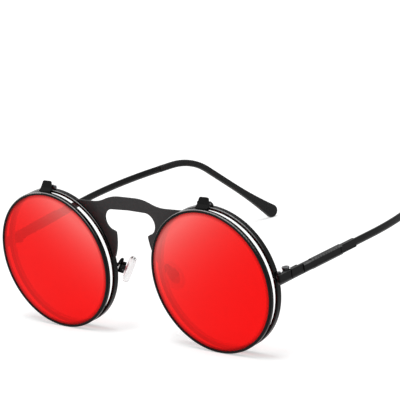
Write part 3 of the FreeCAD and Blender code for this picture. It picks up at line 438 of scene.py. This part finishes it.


# The third colour of each lacquer is a painted highlight on its upper front corners.
rim_lacquer = material("gloss_black_lacquer", lacquer, dark="#020202", pale="#060606", worn="#a3a3a3",
                       smooth=0.14, rough=0.22, peel=0.06)
hinge_lacquer = material("gloss_black_hinge_lacquer", lacquer, dark="#030303", pale="#080808",
                         worn="#101010", smooth=0.14, rough=0.22, peel=0.06)
# The last colour of this lacquer is a painted reflection of the table on its lower edges.
strip_lacquer = material("satin_black_lacquer", lacquer, dark="#0b0b0b", pale="#121212", worn="#2c2c2c",
                         smooth=0.26, rough=0.36, peel=0.08, below="#6a6a6a")
sleeve_lacquer = material("satin_black_railed_lacquer", railed_lacquer)
plate_coat = material("satin_charcoal_sheet", satin_sheet)
tip_finish = material("matte_black_acetate", matte_acetate)
screw_finish = material("blackened_steel", bare_metal, dark="#4a4a4c", pale="#6a6a6c", mark=TURNED_MARK)
wire_finish = material("drawn_steel_wire", bare_metal, dark="#a9a9ac", pale="#c2c2c5", mark=DRAWN_MARK)
insert_finish = material("rose_plated_brass", bare_metal, dark="#c78f95", pale="#dcaeb2", mark=PLATED_MARK)
lens_film = material("red_mirror_film", red_mirror_film)
lens_red = material("red_polycarbonate", polycarbonate, mirrors="#ffd0d0", passes="#fb8f8f",
                    smooth=0.03, rough=0.06)
lens_clear = material("clear_polycarbonate", polycarbonate, mirrors="#ffffff", passes="#fbfdfd",
                      smooth=0.02, rough=0.05)
lens_edge = material("ground_lens_edge", ground_edge)
pad_finish = material("clear_silicone", clear_silicone)

FINISH = {
    "bridge_plate": plate_coat,
    "rim": rim_lacquer,
    "flip_rim": rim_lacquer,
    "end_piece": strip_lacquer,
    "rim_lock": strip_lacquer,
    "front_leaf": strip_lacquer,
    "flip_bracket": hinge_lacquer,
    "flip_tab": hinge_lacquer,
    "pad_arm": hinge_lacquer,
    "temple_leaf": strip_lacquer,
    "temple_arm": strip_lacquer,
    "temple_sleeve": sleeve_lacquer,
    "temple_tip": tip_finish,
    "tip_core": wire_finish,
    "lock_screw": screw_finish,
    "temple_screw": screw_finish,
    "flip_screw": screw_finish,
    "pad_screw": screw_finish,
    "clear_lens": lens_clear,
    "flip_lens": lens_red,
    "nose_pad": pad_finish,
    "pad_insert": insert_finish,
}
for name, node in nodes.items():
    kind = name if name in FINISH else name.split("_", 1)[1]
    node.data.materials.clear()
    node.data.materials.append(FINISH[kind])


# Lenses

# Each is a surface of revolution about its own axis, closed at the two poles. The tinted lens and
# the clear one have the same profile: two domed faces, and a bevel with its ridge midway between
# the faces' edges. Depths are measured backwards from the front of the rim's seat.
FACE_RADIUS = 24.52 * MM
RIDGE_RADIUS = 25.0 * MM
RIDGE_DEPTH = 0.8 * MM
BEVEL_WIDTH = 0.9 * MM
LENS_THICKNESS = 1.3 * MM
LENS_CURVE = 260.0 * MM
CAP_RINGS = 24
AROUND = 192
SHARP_ANGLE = math.radians(20.0)


def lens_profile():
    """Radius and depth down the lens's half section: a spherical cap, the bevel's three corners, and
    the cap behind. A cap's depth is its edge's depth less the height of the sphere over the edge:
    root(R2 - r2) - root(R2 - edge2)."""
    radius = np.linspace(0.0, FACE_RADIUS, CAP_RINGS)
    dome = np.sqrt(LENS_CURVE ** 2 - radius ** 2) - np.sqrt(LENS_CURVE ** 2 - FACE_RADIUS ** 2)
    front = RIDGE_DEPTH - LENS_THICKNESS / 2 - dome
    bevel = RIDGE_DEPTH + BEVEL_WIDTH * np.array([-0.5, 0.0, 0.5])
    back = RIDGE_DEPTH + LENS_THICKNESS / 2 - dome[::-1]
    return (np.concatenate([radius, [FACE_RADIUS, RIDGE_RADIUS, FACE_RADIUS], radius[::-1]]),
            np.concatenate([front, bevel, back]))


def make_lens(name, side, depth, body, finishes):
    """Lens turned from its profile: a point is at (side + r cos t, depth + d, r sin t) in the front's
    own frame. The finishes are those of the front cap, the edge and the back cap."""
    radius, back = lens_profile()
    back = depth + back
    turn = np.arange(AROUND) * (2 * np.pi / AROUND)
    rings = radius[1:-1, None]
    behind = np.repeat(back[1:-1, None], AROUND, axis=1)
    grid = np.stack([side + rings * np.cos(turn), behind, rings * np.sin(turn)], axis=-1)
    poles = [[side, back[0], 0.0], [side, back[-1], 0.0]]
    points = np.concatenate([grid.reshape(-1, 3), poles])
    points = points @ np.array(lean).T + np.array(front_origin)
    here = np.arange(AROUND)
    after = (here + 1) % AROUND
    count = len(radius) - 2
    row = (np.arange(count - 1) * AROUND)[:, None]
    walls = np.stack([row + here, row + AROUND + here, row + AROUND + after, row + after], axis=-1)
    last = (count - 1) * AROUND
    front_fan = np.stack([here, after, np.full(AROUND, len(points) - 2)], axis=-1)
    back_fan = np.stack([last + after, last + here, np.full(AROUND, len(points) - 1)], axis=-1)
    faces = front_fan.tolist() + walls.reshape(-1, 4).tolist() + back_fan.tolist()
    mesh = bpy.data.meshes.new(name)
    mesh.from_pydata(points.tolist(), [], faces)
    for finish in finishes:
        mesh.materials.append(finish)
    cap = AROUND * (CAP_RINGS - 1)
    finish_of_face = np.repeat([0, 1, 2], [cap, len(faces) - 2 * cap, cap])
    mesh.polygons.foreach_set("material_index", finish_of_face.astype(np.int32))
    mesh.shade_smooth()
    mesh.set_sharp_from_angle(angle=SHARP_ANGLE)
    mesh.update()
    lens = put(name, mesh)
    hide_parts(name.replace("_surface", ""))
    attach(lens, body)


for hand, side in (("left", lens_side), ("right", -lens_side)):
    make_lens(hand + "_flip_lens_surface", side, 0.0, hand + "_flip",
              (lens_film, lens_red, lens_red))
    make_lens(hand + "_clear_lens_surface", side, CLEAR_LENS_BACK, "front",
              (lens_clear, lens_edge, lens_clear))


# Stage

# A pale table, a white surround and one soft lamp. The table glows by one strength where the camera
# sees it and by another where it is mirrored. The surround is brighter where it is seen than as light.
TABLE_HALF = 3.0
TABLE_GLOW = 0.48
TABLE_GLOW_MIRRORED = 0.29
SURROUND_SEEN = 1.0
SURROUND_LIGHT = 0.42
LAMP_WAY = Vector((-0.05, 0.14, -1.0))
LAMP_SPREAD = math.radians(34.0)
LAMP_STRENGTH = 0.6


def seen_rays(tree):
    """One for rays that show the background: straight from the camera, mirrored, or bent on their way
    through a clear piece."""
    path = add(tree, "LightPath").outputs
    seen = add(tree, "Math", {0: path["Is Camera Ray"], 1: path["Is Glossy Ray"]}, operation="MAXIMUM")
    return add(tree, "Math", {0: seen, 1: path["Is Transmission Ray"]}, operation="MAXIMUM")


def white_table(tree):
    """Table top that is white where it is seen and shaded where the part stands."""
    plain = add(tree, "BsdfDiffuse", {"Color": "#e6e6e6"})
    shaded = add(tree, "BsdfDiffuse", {"Color": "#dcdcdc"})
    direct = add(tree, "LightPath").outputs["Is Camera Ray"]
    strength = add(tree, "MapRange", {"Value": direct, "To Min": TABLE_GLOW_MIRRORED, "To Max": TABLE_GLOW})
    glow = add(tree, "Emission", {"Color": "#ffffff", "Strength": strength})
    white = add(tree, "AddShader", {0: shaded, 1: glow})
    return add(tree, "MixShader", {0: seen_rays(tree), 1: plain, 2: white})


def make_table():
    """A flat square of table top under the part."""
    corners = [(x * TABLE_HALF, y * TABLE_HALF, 0.0) for x, y in ((-1, -1), (1, -1), (1, 1), (-1, 1))]
    mesh = bpy.data.meshes.new("table_top")
    mesh.from_pydata(corners, [], [(0, 1, 2, 3)])
    mesh.materials.append(material("white_table", white_table))
    table = put("table_top", mesh)


def make_surround():
    """White all round where it is seen, and a plain soft light on the part."""
    world = bpy.data.worlds.new("white_surround")
    world.use_nodes = True
    tree = world.node_tree
    tree.nodes.clear()
    strength = add(tree, "MapRange", {"Value": seen_rays(tree), "To Min": SURROUND_LIGHT,
                                      "To Max": SURROUND_SEEN})
    shade = add(tree, "Background", {"Color": "#ffffff", "Strength": strength})
    add(tree, "OutputWorld", {"Surface": shade})
    bpy.context.scene.world = world


def make_lamp():
    """A wide soft lamp so far off that it lights the whole table alike. It shines along LAMP_WAY, and
    a strength of 1 lights a white face that is turned to it to white."""
    data = bpy.data.lights.new("soft_light_above", "SUN")
    data.angle = LAMP_SPREAD
    data.energy = math.pi * LAMP_STRENGTH
    lamp = put("soft_light_above", data)
    lamp.rotation_euler = LAMP_WAY.to_track_quat("-Z", "Y").to_euler()


make_table()
make_surround()
make_lamp()

bpy.context.scene.view_settings.view_transform = "Standard"
